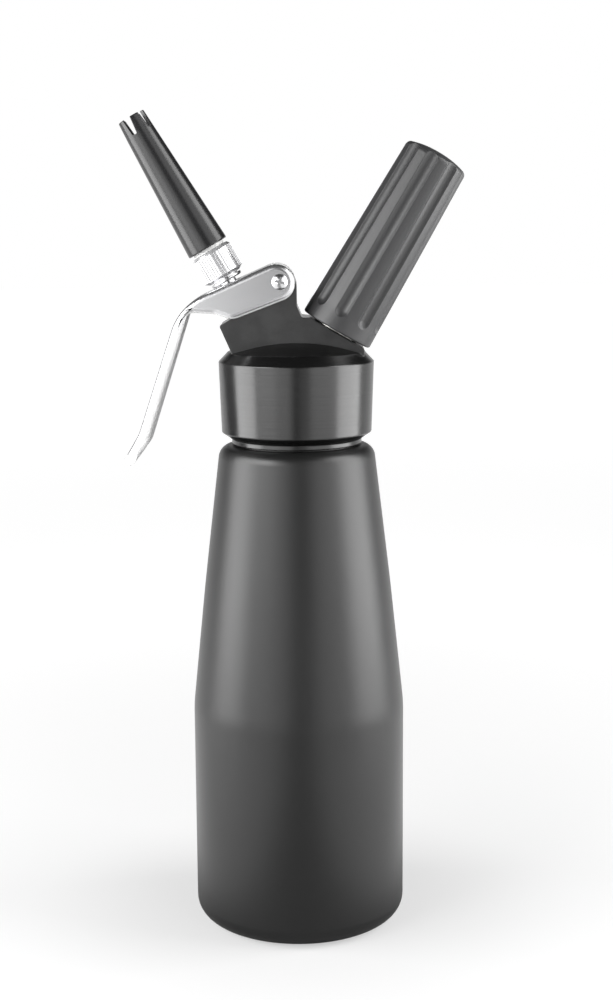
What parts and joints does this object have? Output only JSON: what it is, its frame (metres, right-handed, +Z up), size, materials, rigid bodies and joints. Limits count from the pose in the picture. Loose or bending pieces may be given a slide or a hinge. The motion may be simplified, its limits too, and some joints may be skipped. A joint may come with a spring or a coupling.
{
  "type": "whipped cream dispenser",
  "caption": "Pressurised cream whipper: tapered bottle, screwed head with squeeze lever, angled nozzle with decorator tip, and fluted gas charger holder.",
  "frame": {"origin": "centre of the bottle's standing ring, on the bottle's axis", "axes": "+Z up along the bottle, +X towards the charger holder, -X towards the lever and nozzle, -Y the front"},
  "size_m": [0.141, 0.09, 0.3434],
  "materials": {
    "bottle_black": "matte black coating on drawn aluminium",
    "head_black": "black anodised casting, turned collar",
    "gasket_rubber": "moulded silicone",
    "seal_rubber": "moulded rubber",
    "steel_bright": "turned stainless steel",
    "spring_steel": "drawn spring wire",
    "brass_plain": "turned brass",
    "brass_nickel": "nickel-plated brass",
    "adapter_bright": "knurled bright metal",
    "washer_white": "white low-friction plastic",
    "tip_black": "satin black moulded plastic",
    "lever_steel": "polished pressed stainless sheet",
    "screw_bright": "bright pan-head screw",
    "charger_steel": "plain steel cartridge",
    "holder_black": "matte dark grey moulded plastic",
    "pad_grey": "soft pad"
  },
  "bodies": {
    "bottle": {"bottle": "bottle_black"},
    "gasket": {"head_gasket": "gasket_rubber"},
    "head": {"head": "head_black", "stem_oring": "seal_rubber", "valve_guide": "brass_plain", "valve_spring": "spring_steel", "pivot_barrel": "steel_bright", "pivot_screw": "screw_bright", "pivot_washer_front": "washer_white", "pivot_washer_back": "washer_white", "charging_port": "brass_nickel", "piercing_pin": "steel_bright", "port_seal": "seal_rubber", "check_poppet": "seal_rubber", "check_ring": "brass_plain", "check_spring": "spring_steel"},
    "lever": {"lever": "lever_steel"},
    "stem": {"valve_stem": "steel_bright", "valve_seal": "seal_rubber", "stem_collar": "steel_bright", "adapter": "adapter_bright"},
    "washer": {"tip_washer": "washer_white"},
    "tip": {"decorator_tip": "tip_black"},
    "charger": {"gas_charger": "charger_steel"},
    "holder": {"charger_holder": "holder_black", "holder_insert": "brass_nickel", "holder_pad": "pad_grey"}
  },
  "joints": [
    {"name": "head_lift", "type": "slide", "parent": "bottle", "child": "gasket", "axis": [0, 0, 1], "range_m": [0, 0.009]},
    {"name": "head_turn", "type": "hinge", "parent": "gasket", "child": "head", "pos_m": [0, 0, 0.22], "axis": [0, 0, 1], "range_deg": [0, 1080.5]},
    {"name": "lever_press", "type": "hinge", "parent": "head", "child": "lever", "pos_m": [-0.0064, 0, 0.2742], "axis": [0, -1, 0], "range_deg": [0, 9.01], "stiffness_Nm_per_rad": 2.1, "springref_deg": -7.45},
    {"name": "valve_press", "type": "slide", "parent": "head", "child": "stem", "axis": [0.5, 0, -0.866], "range_m": [0, 0.00293], "deforming": ["valve_spring"]},
    {"name": "tip_lift", "type": "slide", "parent": "stem", "child": "washer", "axis": [-0.5, 0, 0.866], "range_m": [0, 0.003]},
    {"name": "tip_turn", "type": "hinge", "parent": "washer", "child": "tip", "pos_m": [-0.0375, 0, 0.29035], "axis": [-0.5, 0, 0.866], "range_deg": [0, 540.5]},
    {"name": "charger_lift", "type": "slide", "parent": "head", "child": "charger", "axis": [0.5075, 0, 0.8616], "range_m": [0, 0.009]},
    {"name": "holder_turn", "type": "hinge", "parent": "charger", "child": "holder", "pos_m": [0.0203, 0, 0.25987], "axis": [0.5075, 0, 0.8616], "range_deg": [0, 1620.5]}
  ],
  "couplings": [
    {"joint": "head_turn", "follows": "head_lift", "rad_per_m": 2094.4},
    {"joint": "lever_press", "follows": "valve_press", "rad_per_m": 53.619},
    {"joint": "tip_turn", "follows": "tip_lift", "rad_per_m": 3141.6},
    {"joint": "holder_turn", "follows": "charger_lift", "rad_per_m": 3141.6}
  ]
}
